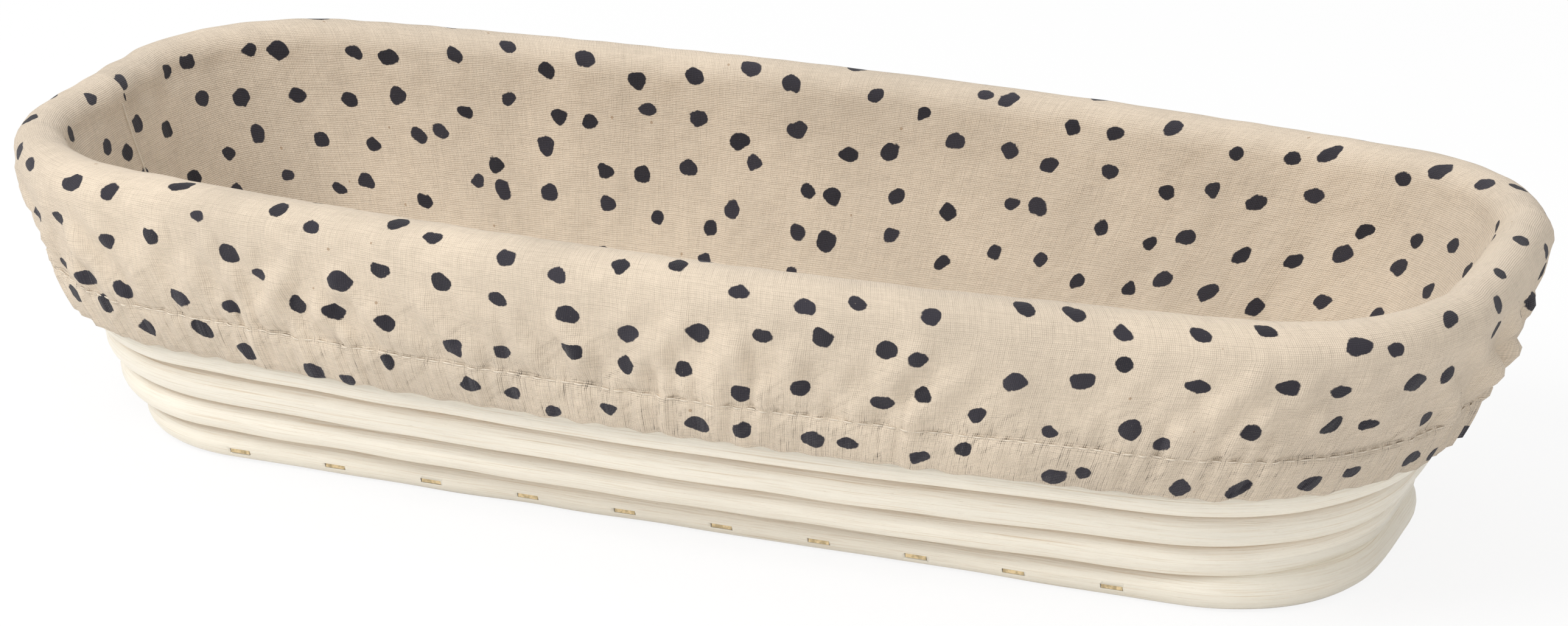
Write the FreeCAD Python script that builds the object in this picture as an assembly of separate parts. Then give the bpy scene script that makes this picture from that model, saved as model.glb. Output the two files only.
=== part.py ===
import FreeCAD, Part
import math
import os

# A long banneton: a dough-proofing basket of round rattan canes, stapled turn on turn,
# with a lift-out cotton liner whose elastic skirt hangs over the rim.
# Millimetres. +X runs along the length, +Z is up, and the origin is the middle of the base.

# ---------- driving dimensions ----------

# The basket over its canes
BASE_LENGTH = 324.0        # over the lowest wall cane
BASE_WIDTH = 101.0
RIM_LENGTH = 377.4         # over the rim cane
RIM_WIDTH = 159.4
BASE_CORNER = 38.0         # plan radius of the corners, outside
RIM_CORNER = 50.0
CORNER_SWELL = 9.0         # extra corner radius half way up the flare
BASE_SIDE_RADIUS = 200000.0  # the long sides are all but straight at the base
RIM_SIDE_RADIUS = 1060.0   # and bow outwards at the rim
END_RADIUS = 420.0
SIDE_FLARE_CURVE = 1.75    # 1 is a straight flare; more is steeper towards the rim
END_FLARE_CURVE = 1.05
WALL_DRIFT = -3.9          # how far the middle of the wall stands off centre along X
DRIFT_CURVE = 0.3          # under 1 puts the most of it nearer the base

# The canes
WALL_TURNS = 8
CANE_DIAMETER = 11.1
CANE_SEAT = 0.3            # depth of the flat worn where one cane bears on the next
CANE_GAP = 0.05            # what is left between two canes that touch
BASE_FLAT = 0.25           # depth of the flat sanded under the canes that the basket stands on
SCARF_LENGTH = 46.0        # the two ends of a turn are cut to long matching tapers
SCARF_GAP = 0.2
SCARF_STAGGER = 24.0       # each turn's scarf is this far along from the one below
BASE_SCARF_X = 106.0       # the lowest turn's scarf shows at the front

# The staples
STAPLE_CROWN = 5.2
STAPLE_BITE = 3.6          # how far the legs go into the second cane
STAPLE_WIRE = 1.0
STAPLE_THICKNESS = 0.6
STAPLE_RECESS = 0.35       # the crown is driven this far below the cane's surface
SEATED_RECESS = 0.9        # and this far where the next turn covers it
STAPLE_SLOT_CLEARANCE = 0.05
BASE_STAPLE_PITCH = 25.3
BASE_STAPLE_DRIFT = -6.5   # each row's middle stands off centre, as it was driven by hand
BASE_STAPLE_BUNCHING = 3.0
BASE_STAPLE_DROP = 2.1     # the row stands a little below the lowest cane's middle
WALL_STAPLES_PER_TURN = 12
FLOOR_STAPLES_PER_TURN = 8

# The liner
CLOTH = 0.8
LINER_CLEARANCE = 0.5
SEAM_GAP = 0.02
HEM_TOP = 47.0             # heights above the table
HEM_BOTTOM = 35.0
ELASTIC_WIDTH = 7.5
ELASTIC_THICKNESS = 0.9
ELASTIC_CLEARANCE = 0.1
THREAD = 0.4
BAND_SEAM_SHARE = 0.55     # where the band's seam stands, as a share along the -X end

# ---------- values that follow ----------

CANE_RADIUS = CANE_DIAMETER / 2
CANE_PITCH = CANE_DIAMETER - 2 * CANE_SEAT
FLOOR_MIDDLE = CANE_RADIUS - BASE_FLAT
FLOOR_TOP = CANE_DIAMETER - BASE_FLAT
SEAT_HALF_WIDTH = math.sqrt(CANE_RADIUS ** 2 - (CANE_PITCH / 2) ** 2)
STAPLE_LEG = CANE_DIAMETER - SEATED_RECESS + STAPLE_BITE
LINER_OUTSIDE = CANE_RADIUS + LINER_CLEARANCE
LINER_INSIDE = LINER_OUTSIDE + CLOTH
BULGE_STEPS = 6
HAIR = 0.01                # a loft needs its loops at heights that differ, if only by this


class Outline:
    """A plan outline of eight tangent arcs: two long sides, two ends and four corners."""

    def __init__(self, half_length, half_width, corner, side_bow, end_bow, shift=0.0):
        self.half_length = half_length
        self.half_width = half_width
        self.corner = corner
        self.side_bow = side_bow
        self.end_bow = end_bow
        self.shift = shift

    def grown(self, by):
        """The parallel outline that lies further out by this much."""
        return Outline(self.half_length + by, self.half_width + by, self.corner + by,
                       1 / (1 / self.side_bow + by), 1 / (1 / self.end_bow + by), self.shift)

    def towards(self, other, share):
        """The outline this share of the way to another."""
        def between(name):
            return getattr(self, name) * (1 - share) + getattr(other, name) * share
        return Outline(*[between(name) for name in
                         ("half_length", "half_width", "corner", "side_bow", "end_bow", "shift")])

    def corner_arc(self):
        """Centre of the +X +Y corner arc, and the angles where it meets the end and the side."""
        side_radius = 1 / self.side_bow
        end_radius = 1 / self.end_bow
        side_centre = self.half_width - side_radius
        end_centre = self.half_length - end_radius
        apart = math.hypot(end_centre, side_centre)
        to_side = side_radius - self.corner
        to_end = end_radius - self.corner
        along = (to_side ** 2 - to_end ** 2 + apart ** 2) / (2 * apart)
        across = math.sqrt(to_side ** 2 - along ** 2)
        unit_x = end_centre / apart
        unit_y = -side_centre / apart
        choices = [(unit_x * along - sign * unit_y * across,
                    side_centre + unit_y * along + sign * unit_x * across) for sign in (1, -1)]
        x, y = max(choices, key=sum)
        return x, y, math.atan2(y, x - end_centre), math.atan2(y - side_centre, x)

    def wire(self, z):
        """The closed outline as a wire at this height."""
        x, y, end_angle, side_angle = self.corner_arc()

        def on_corner(angle):
            return x + self.corner * math.cos(angle), y + self.corner * math.sin(angle)

        end_join = on_corner(end_angle)
        corner_middle = on_corner((end_angle + side_angle) / 2)
        side_join = on_corner(side_angle)

        def arc(*spots):
            return Part.Arc(*[FreeCAD.Vector(sx + self.shift, sy, z) for sx, sy in spots]).toShape()

        def turned(spot, flip_x, flip_y):
            return spot[0] * flip_x, spot[1] * flip_y

        edges = []
        for flip in (1, -1):
            edges.append(arc(turned(end_join, flip, -flip), (flip * self.half_length, 0),
                             turned(end_join, flip, flip)))
            edges.append(arc(turned(end_join, flip, flip), turned(corner_middle, flip, flip),
                             turned(side_join, flip, flip)))
            edges.append(arc(turned(side_join, flip, flip), (0, flip * self.half_width),
                             turned(side_join, -flip, flip)))
            edges.append(arc(turned(side_join, -flip, flip), turned(corner_middle, -flip, flip),
                             turned(end_join, -flip, flip)))
        return Part.Wire(edges)

    def place(self, share, z):
        """Point, tangent and outward direction at this share of the way round."""
        wire = self.wire(z)
        left = (share % 1.0) * wire.Length
        for edge in wire.OrderedEdges:
            if left <= edge.Length:
                break
            left -= edge.Length
        parameter = edge.getParameterByLength(min(left, edge.Length))
        point = edge.valueAt(parameter)
        tangent = edge.tangentAt(parameter)
        outward = tangent.cross(FreeCAD.Vector(0, 0, 1))
        return point, tangent, outward


# ---------- the wall's shape ----------

BASE = Outline(BASE_LENGTH / 2, BASE_WIDTH / 2, BASE_CORNER, 1 / BASE_SIDE_RADIUS, 1 / END_RADIUS)
RIM = Outline(RIM_LENGTH / 2, RIM_WIDTH / 2, RIM_CORNER, 1 / RIM_SIDE_RADIUS, 1 / END_RADIUS)


def wall_outline(turn):
    """Centre line of a wall cane, 0 at the base and WALL_TURNS - 1 at the rim."""
    height = turn / (WALL_TURNS - 1)
    side = 1 - (1 - height) ** SIDE_FLARE_CURVE
    end = 1 - (1 - height) ** END_FLARE_CURVE
    corner_share = (side + end) / 2
    corner = (BASE.corner + (RIM.corner - BASE.corner) * corner_share
              + CORNER_SWELL * 4 * corner_share * (1 - corner_share))
    bow = BASE.side_bow + (RIM.side_bow - BASE.side_bow) * (1 - (1 - side) ** 2)
    outside = Outline(BASE.half_length + (RIM.half_length - BASE.half_length) * end,
                      BASE.half_width + (RIM.half_width - BASE.half_width) * side,
                      corner, bow, BASE.end_bow, WALL_DRIFT * math.sin(math.pi * height ** DRIFT_CURVE))
    return outside.grown(-CANE_RADIUS)


def mean_step_out(turn):
    """How far the next cane up stands outside this one, taken over sides and ends."""
    lower = wall_outline(turn)
    upper = wall_outline(turn + 1)
    return (upper.half_length - lower.half_length + upper.half_width - lower.half_width) / 2


OUTLINES = [wall_outline(turn) for turn in range(WALL_TURNS)]
STEPS_OUT = [mean_step_out(turn) for turn in range(WALL_TURNS - 1)]
STEPS_UP = [math.sqrt(CANE_PITCH ** 2 - step ** 2) for step in STEPS_OUT]
HEIGHTS = [FLOOR_MIDDLE + sum(STEPS_UP[:turn]) for turn in range(WALL_TURNS)]
LAST = WALL_TURNS - 1

# As many floor turns as fit between the lowest wall cane and the middle strip, evenly spaced
FLOOR_TURNS = int(OUTLINES[0].half_width / (CANE_DIAMETER + CANE_GAP)) - 1
FLOOR_PITCH = OUTLINES[0].half_width / (FLOOR_TURNS + 1)


def turn_at(height):
    """The turn, with its fraction, whose centre line stands this high."""
    turn = max(index for index in range(LAST) if HEIGHTS[index] <= height)
    return turn + (height - HEIGHTS[turn]) / STEPS_UP[turn]


def lean_above(turn):
    """How much further out a skin lies, level with it, than square to the wall above a turn."""
    step = OUTLINES[turn + 1].half_width - OUTLINES[turn].half_width
    return math.hypot(step, STEPS_UP[turn]) / STEPS_UP[turn]


# At a turn the steeper of its two neighbours counts, and the wall leans most at its foot
LEANS = [lean_above(max(turn - 1, 0)) for turn in range(WALL_TURNS)]


def skin_loop(turn, distance):
    """A loop that lies off the wall's centre line: outside it, or inside where negative."""
    whole = min(int(turn), LAST - 1)
    outline = OUTLINES[whole].towards(OUTLINES[whole + 1], turn - whole)
    height = HEIGHTS[whole] + STEPS_UP[whole] * (turn - whole)
    lean = LEANS[whole] + (LEANS[whole + 1] - LEANS[whole]) * (turn - whole)
    return outline.grown(distance * lean), height


def ring(loops):
    """A closed ring whose section has its corners on these loops, in order round the section."""
    wires = []
    last_z = loops[-1][1]
    for outline, z in loops:
        if abs(z - last_z) < HAIR / 2:
            z += HAIR
        wires.append(outline.wire(z))
        last_z = z
    return Part.Solid(Part.makeLoft(wires, False, True, True))


def with_outward_volume(solid):
    """The same solid, turned right side out if it came inside out."""
    if solid.Volume < 0:
        solid.reverse()
    return solid


# ---------- canes ----------

def round_loops(outline, z, start, stop, steps, ends):
    """Loops on a cane's round surface between two angles; ends says if the last two count."""
    first = 0 if ends else 1
    last = steps if ends else steps - 1
    loops = []
    for step in range(first, last + 1):
        angle = start + (stop - start) * step / steps
        loops.append((outline.grown(CANE_RADIUS * math.cos(angle)),
                      z + CANE_RADIUS * math.sin(angle)))
    return loops


def seat_loops(turn, side):
    """The two loops of the flat between this turn and the next: outer one first.

    side is -1 for the face on the lower cane and +1 for the face on the upper one.
    """
    outline = OUTLINES[turn].towards(OUTLINES[turn + 1], 0.5)
    z = (HEIGHTS[turn] + HEIGHTS[turn + 1]) / 2
    out = STEPS_OUT[turn] / CANE_PITCH
    up = STEPS_UP[turn] / CANE_PITCH
    shift = side * CANE_GAP / 2
    loops = []
    for reach in (SEAT_HALF_WIDTH, -SEAT_HALF_WIDTH):
        loops.append((outline.grown(reach * up + shift * out), z - reach * out + shift * up))
    return loops


def wall_cane(turn):
    """One turn of the wall, before its scarf and staple slots are cut."""
    outline = OUTLINES[turn]
    z = HEIGHTS[turn]
    seat_angle = math.asin(SEAT_HALF_WIDTH / CANE_RADIUS)
    loops = []
    if turn > 0:
        down = math.atan2(-STEPS_UP[turn - 1], -STEPS_OUT[turn - 1])
        outer, inner = seat_loops(turn - 1, 1)
        loops += [inner, outer]
        start = down + seat_angle
    if turn < LAST:
        up = math.atan2(STEPS_UP[turn], STEPS_OUT[turn])
        stop = up - seat_angle
        outer, inner = seat_loops(turn, -1)
    if turn == 0:
        full = 2 * math.pi - 2 * seat_angle
        loops = [outer, inner]
        loops += round_loops(outline, z, up + seat_angle, up + seat_angle + full,
                             2 * BULGE_STEPS, False)
    elif turn == LAST:
        full = 2 * math.pi - 2 * seat_angle
        loops += round_loops(outline, z, start, start + full, 2 * BULGE_STEPS, False)
    else:
        loops += round_loops(outline, z, start, stop, BULGE_STEPS, False)
        loops += [outer, inner]
        loops += round_loops(outline, z, up + seat_angle, down - seat_angle + 2 * math.pi,
                             BULGE_STEPS, False)
    return with_outward_volume(ring(loops))


def floor_outline(turn):
    """Centre line of a floor turn, 1 next to the middle strip."""
    outline = OUTLINES[0].grown(-(FLOOR_TURNS + 1 - turn) * FLOOR_PITCH)
    corner = CANE_RADIUS + (OUTLINES[0].corner - CANE_RADIUS) * turn / (FLOOR_TURNS + 1)
    outline.corner = min(corner + CANE_RADIUS / 2, outline.half_width * 0.98)
    outline.side_bow = BASE.side_bow
    outline.end_bow = BASE.end_bow
    return outline


def floor_cane(turn):
    """One flat turn of the floor."""
    outline = floor_outline(turn)
    loops = round_loops(outline, FLOOR_MIDDLE, 0, 2 * math.pi * (1 - 1 / 12), 11, True)
    return with_outward_volume(ring(loops))


def floor_strip():
    """The straight cane in the middle of the floor, with rounded ends."""
    half_length = floor_outline(1).half_length - CANE_DIAMETER - CANE_GAP
    start = FreeCAD.Vector(-half_length, 0, FLOOR_MIDDLE)
    body = Part.makeCylinder(CANE_RADIUS, 2 * half_length, start, FreeCAD.Vector(1, 0, 0))
    for end in (-1, 1):
        body = body.fuse(Part.makeSphere(CANE_RADIUS, FreeCAD.Vector(end * half_length, 0, FLOOR_MIDDLE)))
    return body.removeSplitter()


def on_long_side(outline, x, side):
    """Where a long side lies at this distance along it, and how far it has turned there."""
    side_radius = 1 / outline.side_bow
    turned = math.asin(x / side_radius)
    return side * (outline.half_width - side_radius + side_radius * math.cos(turned)), -side * turned


def scarf_cut(outline, z, x, side):
    """The thin slanting gap between the two tapered ends of a turn, on a long side."""
    y, turned = on_long_side(outline, x, side)
    slot = Part.makeBox(SCARF_LENGTH * 1.3, CANE_DIAMETER * 1.3, SCARF_GAP,
                        FreeCAD.Vector(-SCARF_LENGTH * 0.65, -CANE_DIAMETER * 0.65, -SCARF_GAP / 2))
    slope = math.degrees(math.atan2(CANE_DIAMETER, SCARF_LENGTH))
    slot.rotate(FreeCAD.Vector(0, 0, 0), FreeCAD.Vector(0, 1, 0), -slope)
    slot.rotate(FreeCAD.Vector(0, 0, 0), FreeCAD.Vector(0, 0, 1), math.degrees(turned))
    slot.translate(FreeCAD.Vector(x + outline.shift, y, z))
    return slot


# ---------- staples ----------

def staple(crown_middle, along, inwards, slot=False):
    """A U of flat wire: its crown lies along one direction and its legs point along the other.

    With slot it is the hole that the staple makes, open to the cane's surface.
    """
    extra = STAPLE_SLOT_CLEARANCE if slot else 0.0
    top = -2 * SEATED_RECESS if slot else 0.0
    under = STAPLE_THICKNESS + extra
    half = STAPLE_CROWN / 2 + extra
    inner = STAPLE_CROWN / 2 - STAPLE_THICKNESS - extra
    leg = STAPLE_LEG + extra
    flat = [(-half, top), (half, top), (half, leg), (inner, leg), (inner, under),
            (-inner, under), (-inner, leg), (-half, leg)]
    corners = [crown_middle + along * u + inwards * v for u, v in flat]
    across = along.cross(inwards)
    across.normalize()
    width = STAPLE_WIRE + 2 * extra
    face = Part.Face(Part.makePolygon(corners + corners[:1]))
    face.translate(across * (-width / 2))
    return face.extrude(across * width)


def base_staple_places():
    """Distances along a long side where a staple is driven in from outside."""
    outline = OUTLINES[0]
    spaces = int(2 * (outline.half_length - outline.corner) / BASE_STAPLE_PITCH)
    return [BASE_STAPLE_DRIFT + (index - spaces / 2) * BASE_STAPLE_PITCH
            + BASE_STAPLE_BUNCHING * math.sin(math.pi * index / spaces)
            for index in range(spaces + 1)]


def base_staples(slot=False):
    """The rows that hold the lowest wall cane to the floor, driven in flat along both long sides."""
    surface = math.sqrt(CANE_RADIUS ** 2 - BASE_STAPLE_DROP ** 2) - STAPLE_RECESS
    outline = OUTLINES[0].grown(surface)
    staples = []
    for side in (-1, 1):
        for place in base_staple_places():
            x = -side * place
            y, turned = on_long_side(outline, x, side)
            crown = FreeCAD.Vector(x, y, FLOOR_MIDDLE - BASE_STAPLE_DROP)
            along = FreeCAD.Vector(math.cos(turned), math.sin(turned), 0)
            inwards = FreeCAD.Vector(math.sin(turned), -math.cos(turned), 0) * side
            staples.append(staple(crown, along, inwards, slot))
    return staples


def floor_staples(turn, slot=False):
    """The staples that hold one floor turn to the one inside it, under the next turn."""
    depth = CANE_RADIUS - SEATED_RECESS
    staples = []
    for index in range(FLOOR_STAPLES_PER_TURN):
        side = 1 if index % 2 else -1
        x = (index // 2 + 0.5) / (FLOOR_STAPLES_PER_TURN // 2) * 2 - 1
        x *= floor_outline(1).half_length * 0.85
        x += (turn - 2) * STAPLE_CROWN * 2
        y = side * (floor_outline(turn).half_width + depth)
        crown = FreeCAD.Vector(x, y, FLOOR_MIDDLE + STAPLE_WIRE)
        staples.append(staple(crown, FreeCAD.Vector(side, 0, 0), FreeCAD.Vector(0, -side, 0), slot))
    return staples


def wall_staples(turn, slot=False):
    """The staples driven down through one wall turn into the turn below it."""
    out = STEPS_OUT[turn - 1] / CANE_PITCH
    up = STEPS_UP[turn - 1] / CANE_PITCH
    depth = CANE_PITCH / 2 - SEATED_RECESS
    staples = []
    for index in range(WALL_STAPLES_PER_TURN):
        share = (index + 0.5 * (turn % 2) + 0.2) / WALL_STAPLES_PER_TURN
        point, tangent, outward = OUTLINES[turn].place(share, HEIGHTS[turn])
        down = outward * -out + FreeCAD.Vector(0, 0, -up)
        staples.append(staple(point + down * -depth, tangent, down, slot))
    return staples


# ---------- the liner ----------

def floor_cloth_top():
    """Height of the floor panel's upper face."""
    return FLOOR_TOP + LINER_CLEARANCE + CLOTH


def pocket_loop(distance, height):
    """A loop on the pocket's wall, this far inside the canes' centre line."""
    return skin_loop(turn_at(height), -distance)[0], height


def turns_between(bottom):
    """The turns above this height and below the rim."""
    return [turn for turn in range(1, LAST) if HEIGHTS[turn] > bottom]


def liner_floor_panel():
    """The cloth that lies on the floor canes."""
    outline, top = pocket_loop(LINER_OUTSIDE, floor_cloth_top())
    face = Part.Face(outline.wire(top - CLOTH))
    return face.extrude(FreeCAD.Vector(0, 0, CLOTH))


def liner_wall_band():
    """The cloth that lines the wall, from the floor panel to the rim."""
    bottom = floor_cloth_top() + SEAM_GAP
    outside = [pocket_loop(LINER_OUTSIDE, bottom)]
    inside = [pocket_loop(LINER_INSIDE, bottom)]
    for turn in turns_between(bottom):
        outside.append(skin_loop(turn, -LINER_OUTSIDE))
        inside.append(skin_loop(turn, -LINER_INSIDE))
    outside.append((OUTLINES[LAST].grown(-LINER_OUTSIDE), HEIGHTS[LAST]))
    inside.append((OUTLINES[LAST].grown(-LINER_INSIDE), HEIGHTS[LAST]))
    return with_outward_volume(ring(outside + inside[::-1]))


def liner_rim_roll():
    """The cloth that rolls over the rim cane."""
    def arc(radius):
        steps = 12
        return [(OUTLINES[LAST].grown(radius * math.cos(math.pi * step / steps)),
                 HEIGHTS[LAST] + SEAM_GAP + radius * math.sin(math.pi * step / steps))
                for step in range(steps + 1)]
    return with_outward_volume(ring(arc(LINER_INSIDE) + arc(LINER_OUTSIDE)[::-1]))


def skirt_side(distance, top, bottom):
    """Loops down the outside of the wall at this distance, between two heights."""
    first = LAST if top is None else turn_at(top)
    last = turn_at(bottom)
    turns = [first] + [turn for turn in range(LAST - 1, -1, -1) if last < turn < first] + [last]
    loops = [skin_loop(turn, distance) for turn in turns]
    if top is None:
        loops[0] = (OUTLINES[LAST].grown(distance), HEIGHTS[LAST] - SEAM_GAP)
    return loops


def liner_skirt():
    """The cloth that hangs down outside the canes, as far as the hem casing."""
    inner = skirt_side(LINER_OUTSIDE, None, HEM_TOP + SEAM_GAP)
    outer = skirt_side(LINER_INSIDE, None, HEM_TOP + SEAM_GAP)
    return with_outward_volume(ring(outer + inner[::-1]))


def hem_casing():
    """The skirt's edge, turned up inside to make a channel for the elastic."""
    channel = ELASTIC_THICKNESS + 2 * ELASTIC_CLEARANCE
    faces = [LINER_OUTSIDE, LINER_OUTSIDE + CLOTH, LINER_OUTSIDE + CLOTH + channel,
             LINER_OUTSIDE + 2 * CLOTH + channel]
    channel_bottom = HEM_BOTTOM + CLOTH
    inner_face = skirt_side(faces[0], HEM_TOP, HEM_BOTTOM)
    channel_inner = skirt_side(faces[1], HEM_TOP, channel_bottom)
    channel_outer = skirt_side(faces[2], HEM_TOP, channel_bottom)
    outer_face = skirt_side(faces[3], HEM_TOP, HEM_BOTTOM)
    loops = outer_face + inner_face[::-1] + channel_inner + channel_outer[::-1]
    return with_outward_volume(ring(loops))


def hem_elastic():
    """The flat elastic in the casing."""
    near = LINER_OUTSIDE + CLOTH + ELASTIC_CLEARANCE
    bottom = HEM_BOTTOM + CLOTH + ELASTIC_CLEARANCE
    inner = skirt_side(near, bottom + ELASTIC_WIDTH, bottom)
    outer = skirt_side(near + ELASTIC_THICKNESS, bottom + ELASTIC_WIDTH, bottom)
    return with_outward_volume(ring(outer + inner[::-1]))


def hem_stitching():
    """The thread that closes the casing, round its outside near the top."""
    near = LINER_OUTSIDE + 2 * CLOTH + ELASTIC_THICKNESS + 2 * ELASTIC_CLEARANCE + SEAM_GAP
    top = HEM_TOP - THREAD
    inner = skirt_side(near, top, top - THREAD)
    outer = skirt_side(near + THREAD, top, top - THREAD)
    return with_outward_volume(ring(outer + inner[::-1]))


def floor_seam_stitching():
    """The thread round the corner between the floor panel and the wall band."""
    z = floor_cloth_top() + SEAM_GAP
    foot = pocket_loop(LINER_INSIDE, z)[0].grown(-SEAM_GAP)
    head = pocket_loop(LINER_INSIDE, z + THREAD)[0].grown(-SEAM_GAP)
    far = foot.grown(-THREAD)
    return with_outward_volume(ring([(foot, z), (head, z + THREAD), (far, z + THREAD), (far, z)]))


def band_seam_share(outline):
    """Share of the way round this outline where the band's one seam stands, on the -X end."""
    lengths = [edge.Length for edge in outline.wire(0).OrderedEdges]
    return (sum(lengths[:4]) + lengths[4] * BAND_SEAM_SHARE) / sum(lengths)


def band_seam_stitching():
    """The thread up the band's one seam, on the inside."""
    bottom = floor_cloth_top() + 2 * SEAM_GAP + THREAD
    stations = [pocket_loop(LINER_INSIDE, bottom)]
    stations += [skin_loop(turn, -LINER_INSIDE) for turn in turns_between(bottom)]
    stations += [(OUTLINES[LAST].grown(-LINER_INSIDE), HEIGHTS[LAST])]
    squares = []
    for outline, z in stations:
        face = outline.grown(-2 * SEAM_GAP)
        point, tangent, outward = face.place(band_seam_share(face), z)
        corners = [point + tangent * (u * THREAD) - outward * (v * THREAD)
                   for u, v in ((-0.5, 0), (0.5, 0), (0.5, 1), (-0.5, 1))]
        squares.append(Part.makePolygon(corners + corners[:1]))
    return with_outward_volume(Part.makeLoft(squares, True, True))


# ---------- build ----------

def sanding_cut():
    """What the sanded flat takes off the underside of the floor and the lowest wall cane."""
    return Part.makeBox(BASE_LENGTH, BASE_WIDTH, CANE_RADIUS,
                        FreeCAD.Vector(-BASE_LENGTH / 2, -BASE_WIDTH / 2, -CANE_RADIUS))


def build_canes():
    """All canes, each with its scarf and the slots of the staples that pass through it."""
    canes = {}
    flat = sanding_cut()
    for turn in range(1, FLOOR_TURNS + 1):
        cuts = [scarf_cut(floor_outline(turn), FLOOR_MIDDLE, SCARF_STAGGER * turn, 1)]
        cuts += floor_staples(turn, True)
        if turn < FLOOR_TURNS:
            cuts += floor_staples(turn + 1, True)
        else:
            cuts += base_staples(True)
        canes["floor_cane_%d" % turn] = floor_cane(turn).cut(flat).cut(Part.makeCompound(cuts))
    canes["floor_strip"] = floor_strip().cut(flat).cut(Part.makeCompound(floor_staples(1, True)))
    for turn in range(WALL_TURNS):
        if turn == 0:
            cuts = [scarf_cut(OUTLINES[turn], HEIGHTS[turn], BASE_SCARF_X, -1)]
        else:
            cuts = [scarf_cut(OUTLINES[turn], HEIGHTS[turn], SCARF_STAGGER * (turn - LAST / 2), 1)]
        cuts += wall_staples(turn, True) if turn else base_staples(True)
        if turn < LAST:
            cuts += wall_staples(turn + 1, True)
        cane = wall_cane(turn)
        if turn == 0:
            cane = cane.cut(flat)
        canes["wall_cane_%d" % (turn + 1)] = cane.cut(Part.makeCompound(cuts))
    return canes


def build_staples():
    """Staples by the row they belong to."""
    floor = []
    for turn in range(1, FLOOR_TURNS + 1):
        floor += floor_staples(turn)
    wall = []
    for turn in range(1, WALL_TURNS):
        wall += wall_staples(turn)
    return {"base_staples": Part.makeCompound(base_staples()),
            "floor_staples": Part.makeCompound(floor),
            "wall_staples": Part.makeCompound(wall)}


def build_liner():
    """The cloth, the elastic and the thread."""
    return {"liner_floor_panel": liner_floor_panel(),
            "liner_wall_band": liner_wall_band(),
            "liner_rim_roll": liner_rim_roll(),
            "liner_skirt": liner_skirt(),
            "hem_casing": hem_casing(),
            "hem_elastic": hem_elastic(),
            "hem_stitching": hem_stitching(),
            "floor_seam_stitching": floor_seam_stitching(),
            "band_seam_stitching": band_seam_stitching()}


def main():
    os.makedirs("parts", exist_ok=True)
    nodes = {}
    nodes.update(build_canes())
    nodes.update(build_staples())
    nodes.update(build_liner())
    for name, shape in nodes.items():
        shape.exportStep("parts/%s.step" % name)
        print("%-24s %2d solid(s) %10.1f mm3 valid %s" % (name, len(shape.Solids), shape.Volume,
                                                       shape.isValid()))
    print("height over the liner %.2f" % (HEIGHTS[LAST] + LINER_INSIDE + SEAM_GAP))
    print("levels", [round(z, 2) for z in HEIGHTS])


main()
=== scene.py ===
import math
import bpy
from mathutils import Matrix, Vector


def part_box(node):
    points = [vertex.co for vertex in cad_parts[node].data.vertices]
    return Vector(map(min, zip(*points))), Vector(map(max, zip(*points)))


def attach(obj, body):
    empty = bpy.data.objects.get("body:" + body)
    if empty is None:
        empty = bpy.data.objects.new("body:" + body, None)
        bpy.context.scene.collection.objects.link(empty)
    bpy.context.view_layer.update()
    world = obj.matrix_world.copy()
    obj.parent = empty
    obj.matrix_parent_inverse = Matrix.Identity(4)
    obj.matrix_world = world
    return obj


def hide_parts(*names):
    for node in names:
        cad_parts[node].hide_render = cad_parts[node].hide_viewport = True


bl_info = {
    "name": "Long banneton with liner",
    "version": (1, 0, 0),
    "blender": (4, 5, 0),
    "location": "View3D > Sidebar > Banneton",
    "description": "Builds the rattan canes, the cotton liner and its stitching, and the stage",
    "category": "Add Mesh",
}

import bpy
import numpy as np
from bpy.props import FloatProperty, FloatVectorProperty, IntProperty, PointerProperty
from mathutils import Matrix, Vector

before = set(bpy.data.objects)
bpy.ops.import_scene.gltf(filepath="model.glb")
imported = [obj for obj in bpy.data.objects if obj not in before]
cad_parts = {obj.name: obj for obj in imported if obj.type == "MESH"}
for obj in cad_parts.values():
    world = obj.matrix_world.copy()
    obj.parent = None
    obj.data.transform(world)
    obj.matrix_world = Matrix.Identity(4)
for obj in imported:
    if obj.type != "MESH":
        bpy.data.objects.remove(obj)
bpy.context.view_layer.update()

MM = 0.001
TURN = 2 * math.pi

# ---------- the basket's shape, in metres ----------

WALL_CANES = sorted((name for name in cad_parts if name.startswith("wall_cane_")),
                    key=lambda name: int(name.rsplit("_", 1)[1]))
FLOOR_CANES = sorted(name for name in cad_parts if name.startswith("floor_cane_"))
LAST = len(WALL_CANES) - 1

BASE_CORNER = 38 * MM
RIM_CORNER = 50 * MM
CORNER_SWELL = 9 * MM
BASE_SIDE_RADIUS = 200.0
RIM_SIDE_RADIUS = 1.06
END_RADIUS = 0.42
CANE_SEAT = 0.3 * MM
BASE_FLAT = 0.25 * MM
STAPLE_PITCH = 25.3 * MM
STAPLE_DRIFT = -6.5 * MM
STAPLE_BUNCHING = 3 * MM
STAPLE_DROP = 2.1 * MM
STAPLE_CROWN = 5.2 * MM
STAPLE_WIRE = 1.0 * MM
STAPLE_DEPTH = 0.95 * MM
CLOTH_CLEARANCE = 0.5 * MM
SLOT_INSET = 0.3 * MM
SLOT_END_ROOM = 0.3 * MM
SLOT_SIDE_ROOM = 0.2 * MM


def half_sizes(node):
    """Half length, half width and shift along X of a node's box."""
    low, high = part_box(node)
    return (high[0] - low[0]) / 2, (high[1] - low[1]) / 2, (high[0] + low[0]) / 2


CANE_RADIUS = half_sizes("floor_strip")[1]
CANE_PITCH = 2 * CANE_RADIUS - 2 * CANE_SEAT
FLOOR_MIDDLE = CANE_RADIUS - BASE_FLAT


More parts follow.
